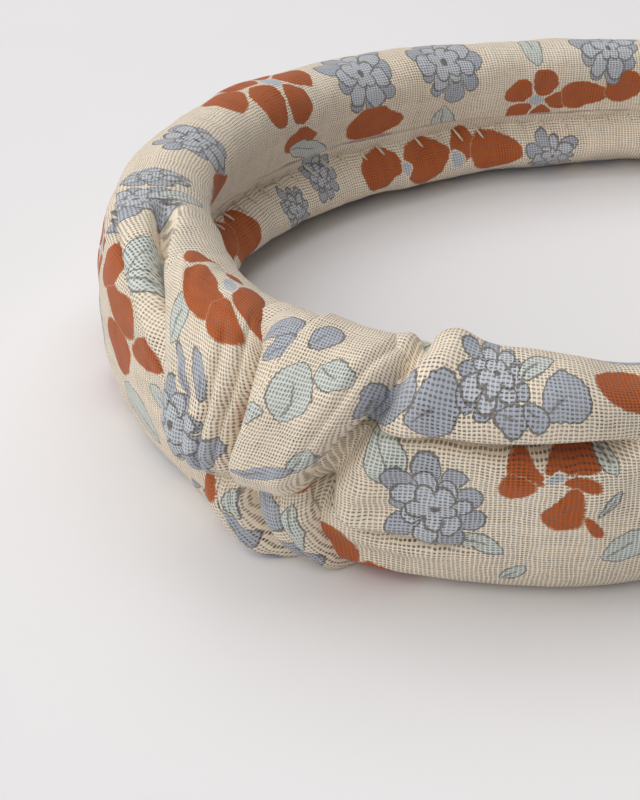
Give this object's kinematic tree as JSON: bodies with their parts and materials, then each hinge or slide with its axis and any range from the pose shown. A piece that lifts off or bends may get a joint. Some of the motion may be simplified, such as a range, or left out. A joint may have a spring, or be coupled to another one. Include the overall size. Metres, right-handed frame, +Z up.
{
  "type": "knotted headband",
  "caption": "Padded hoop headband in a printed double-gauze sleeve, tied in a flat knot at the crown; it springs open to go over the head.",
  "frame": {"origin": "middle of the box's underside, on the table, with the band lying on its lower edge", "axes": "+Z up, across the band's width; the knot faces -Y and the open ends face +Y; +X is the right arm, seen from above with the knot nearest"},
  "size_m": [0.1494, 0.1732, 0.0383],
  "materials": {
    "printed_gauze": "open-weave cotton double gauze, cream with a rust, grey-blue and pale green flower print",
    "band_plastic": "plain moulded",
    "wadding": "soft polyester wadding",
    "sewing_thread": "matt cotton thread"
  },
  "bodies": {
    "crown": {"core_crown": "band_plastic", "padding_crown": "wadding", "sleeve_crown": "printed_gauze", "knot_wrap": "printed_gauze", "knot_strand_left": "printed_gauze", "knot_strand_right": "printed_gauze", "knot_tacks": "sewing_thread"},
    "arm_left": {"core_left": "band_plastic", "padding_left": "wadding", "sleeve_left": "printed_gauze", "tip_fold_left": "printed_gauze", "seam_stitches_left": "sewing_thread"},
    "arm_right": {"core_right": "band_plastic", "padding_right": "wadding", "sleeve_right": "printed_gauze", "tip_fold_right": "printed_gauze", "seam_stitches_right": "sewing_thread"}
  },
  "joints": [
    {"name": "left_arm_flex", "type": "hinge", "parent": "crown", "child": "arm_left", "pos_m": [-0.02996, -0.06041, 0], "axis": [0, 0, 1], "range_deg": [-5, 16], "stiffness_Nm_per_rad": 0.8},
    {"name": "right_arm_flex", "type": "hinge", "parent": "crown", "child": "arm_right", "pos_m": [0.02996, -0.06041, 0], "axis": [0, 0, -1], "range_deg": [-5, 16], "stiffness_Nm_per_rad": 0.8}
  ]
}
